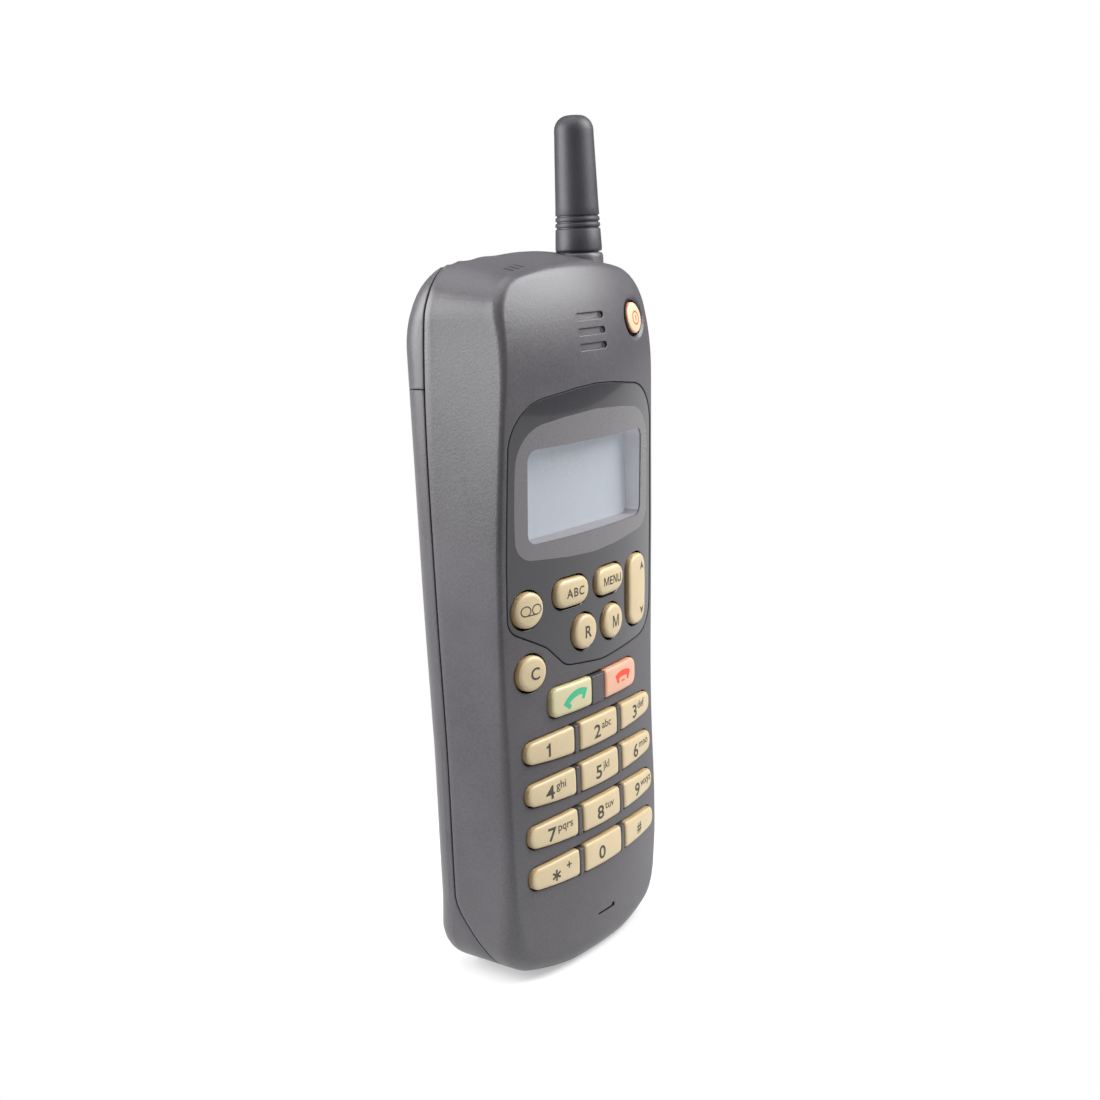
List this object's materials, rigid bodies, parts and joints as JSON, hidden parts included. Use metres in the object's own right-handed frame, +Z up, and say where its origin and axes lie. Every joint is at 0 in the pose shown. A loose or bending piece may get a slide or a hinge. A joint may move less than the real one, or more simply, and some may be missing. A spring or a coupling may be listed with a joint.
{
  "type": "bar cell phone",
  "caption": "Bar cell phone with a hollowed key face, a smoked window panel over a recessed display, a stub antenna and a clip-on battery that swings out at the foot.",
  "frame": {"origin": "middle of the foot the phone stands on", "axes": "+X across the phone to the right seen from the face, the face looks toward -Y, +Z up along the phone to the antenna"},
  "size_m": [0.058, 0.0324, 0.1925],
  "materials": {
    "body_grey": "fine matt texture",
    "label_grey": "satin",
    "panel_smoke": "smooth, slightly clear over the display",
    "mask_grey": "printed",
    "tray_grey": "satin",
    "display": "grey display glass",
    "guide_white": "clear",
    "mat_rubber": "soft",
    "dome_film": "film",
    "board_green": "lacquered",
    "can_steel": "tinned",
    "mesh_cloth": "woven",
    "black_plastic": "satin",
    "black_rubber": "matt",
    "gilt_brass": "gilt",
    "card_white": "printed card",
    "cell_steel": "sleeved",
    "key_cream": "milky, worn smooth",
    "key_rose": "milky, worn smooth"
  },
  "bodies": {
    "handset": {"front_cover": "body_grey", "window_panel": "panel_smoke", "window_mask": "mask_grey", "lcd_holder": "tray_grey", "lcd_glass": "display", "light_guide": "guide_white", "keymat": "mat_rubber", "dome_sheet": "dome_film", "main_board": "board_green", "shield_can": "can_steel", "ear_mesh": "mesh_cloth", "ear_holder": "black_plastic", "earpiece": "can_steel", "buzzer": "black_plastic", "mic_boot": "black_rubber", "microphone": "can_steel", "bottom_plug": "black_plastic", "antenna_socket": "black_plastic", "antenna_stud": "gilt_brass", "antenna_sleeve": "black_rubber", "rear_cover": "body_grey", "contact_block": "black_plastic", "contact_springs": "gilt_brass", "sim_reader": "black_plastic", "sim_card": "card_white", "screws": "can_steel", "power_pad": "mat_rubber"},
    "battery": {"battery_case": "body_grey", "battery_lid": "label_grey", "battery_cells": "cell_steel", "battery_pads": "gilt_brass", "catch_spring": "can_steel"},
    "catch": {"battery_catch": "black_plastic"},
    "button_power": {"key_power": "key_cream"},
    "button_message": {"key_message": "key_cream"},
    "button_abc": {"key_abc": "key_cream"},
    "button_menu": {"key_menu": "key_cream"},
    "button_recall": {"key_recall": "key_cream"},
    "button_memory": {"key_memory": "key_cream"},
    "button_scroll": {"key_scroll": "key_cream"},
    "button_clear": {"key_clear": "key_cream"},
    "button_send": {"key_send": "key_cream"},
    "button_end": {"key_end": "key_rose"},
    "button_1": {"key_1": "key_cream"},
    "button_2": {"key_2": "key_cream"},
    "button_3": {"key_3": "key_cream"},
    "button_4": {"key_4": "key_cream"},
    "button_5": {"key_5": "key_cream"},
    "button_6": {"key_6": "key_cream"},
    "button_7": {"key_7": "key_cream"},
    "button_8": {"key_8": "key_cream"},
    "button_9": {"key_9": "key_cream"},
    "button_star": {"key_star": "key_cream"},
    "button_0": {"key_0": "key_cream"},
    "button_hash": {"key_hash": "key_cream"}
  },
  "joints": [
    {"name": "press_power", "type": "slide", "parent": "handset", "child": "button_power", "axis": [0, 1, 0], "range_m": [0, 0.0008], "stiffness_N_per_m": 300, "springref_m": -0.002},
    {"name": "press_message", "type": "slide", "parent": "handset", "child": "button_message", "axis": [0, 1, 0], "range_m": [0, 0.0008], "stiffness_N_per_m": 300, "springref_m": -0.002},
    {"name": "press_abc", "type": "slide", "parent": "handset", "child": "button_abc", "axis": [0, 1, 0], "range_m": [0, 0.0008], "stiffness_N_per_m": 300, "springref_m": -0.002},
    {"name": "press_menu", "type": "slide", "parent": "handset", "child": "button_menu", "axis": [0, 1, 0], "range_m": [0, 0.0008], "stiffness_N_per_m": 300, "springref_m": -0.002},
    {"name": "press_recall", "type": "slide", "parent": "handset", "child": "button_recall", "axis": [0, 1, 0], "range_m": [0, 0.0008], "stiffness_N_per_m": 300, "springref_m": -0.002},
    {"name": "press_memory", "type": "slide", "parent": "handset", "child": "button_memory", "axis": [0, 1, 0], "range_m": [0, 0.0008], "stiffness_N_per_m": 300, "springref_m": -0.002},
    {"name": "scroll_rock", "type": "hinge", "parent": "handset", "child": "button_scroll", "pos_m": [0.0182, -0.0093, 0.0842], "axis": [1, 0, 0], "range_deg": [-4, 4], "stiffness_Nm_per_rad": 0.01},
    {"name": "press_clear", "type": "slide", "parent": "handset", "child": "button_clear", "axis": [0, 1, 0], "range_m": [0, 0.0008], "stiffness_N_per_m": 300, "springref_m": -0.002},
    {"name": "press_send", "type": "slide", "parent": "handset", "child": "button_send", "axis": [0, 1, 0], "range_m": [0, 0.0008], "stiffness_N_per_m": 300, "springref_m": -0.002},
    {"name": "press_end", "type": "slide", "parent": "handset", "child": "button_end", "axis": [0, 1, 0], "range_m": [0, 0.0008], "stiffness_N_per_m": 300, "springref_m": -0.002},
    {"name": "press_1", "type": "slide", "parent": "handset", "child": "button_1", "axis": [0, 1, 0], "range_m": [0, 0.0008], "stiffness_N_per_m": 300, "springref_m": -0.002},
    {"name": "press_2", "type": "slide", "parent": "handset", "child": "button_2", "axis": [0, 1, 0], "range_m": [0, 0.0008], "stiffness_N_per_m": 300, "springref_m": -0.002},
    {"name": "press_3", "type": "slide", "parent": "handset", "child": "button_3", "axis": [0, 1, 0], "range_m": [0, 0.0008], "stiffness_N_per_m": 300, "springref_m": -0.002},
    {"name": "press_4", "type": "slide", "parent": "handset", "child": "button_4", "axis": [0, 1, 0], "range_m": [0, 0.0008], "stiffness_N_per_m": 300, "springref_m": -0.002},
    {"name": "press_5", "type": "slide", "parent": "handset", "child": "button_5", "axis": [0, 1, 0], "range_m": [0, 0.0008], "stiffness_N_per_m": 300, "springref_m": -0.002},
    {"name": "press_6", "type": "slide", "parent": "handset", "child": "button_6", "axis": [0, 1, 0], "range_m": [0, 0.0008], "stiffness_N_per_m": 300, "springref_m": -0.002},
    {"name": "press_7", "type": "slide", "parent": "handset", "child": "button_7", "axis": [0, 1, 0], "range_m": [0, 0.0008], "stiffness_N_per_m": 300, "springref_m": -0.002},
    {"name": "press_8", "type": "slide", "parent": "handset", "child": "button_8", "axis": [0, 1, 0], "range_m": [0, 0.0008], "stiffness_N_per_m": 300, "springref_m": -0.002},
    {"name": "press_9", "type": "slide", "parent": "handset", "child": "button_9", "axis": [0, 1, 0], "range_m": [0, 0.0008], "stiffness_N_per_m": 300, "springref_m": -0.002},
    {"name": "press_star", "type": "slide", "parent": "handset", "child": "button_star", "axis": [0, 1, 0], "range_m": [0, 0.0008], "stiffness_N_per_m": 300, "springref_m": -0.002},
    {"name": "press_0", "type": "slide", "parent": "handset", "child": "button_0", "axis": [0, 1, 0], "range_m": [0, 0.0008], "stiffness_N_per_m": 300, "springref_m": -0.002},
    {"name": "press_hash", "type": "slide", "parent": "handset", "child": "button_hash", "axis": [0, 1, 0], "range_m": [0, 0.0008], "stiffness_N_per_m": 300, "springref_m": -0.002},
    {"name": "battery_swing", "type": "hinge", "parent": "handset", "child": "battery", "pos_m": [0, -0.00045, 0], "axis": [-1, 0, 0], "range_deg": [0, 35]},
    {"name": "catch_slide", "type": "slide", "parent": "battery", "child": "catch", "axis": [0, 0, -1], "range_m": [0, 0.002], "stiffness_N_per_m": 400, "springref_m": -0.002, "deforming": ["catch_spring"]}
  ]
}
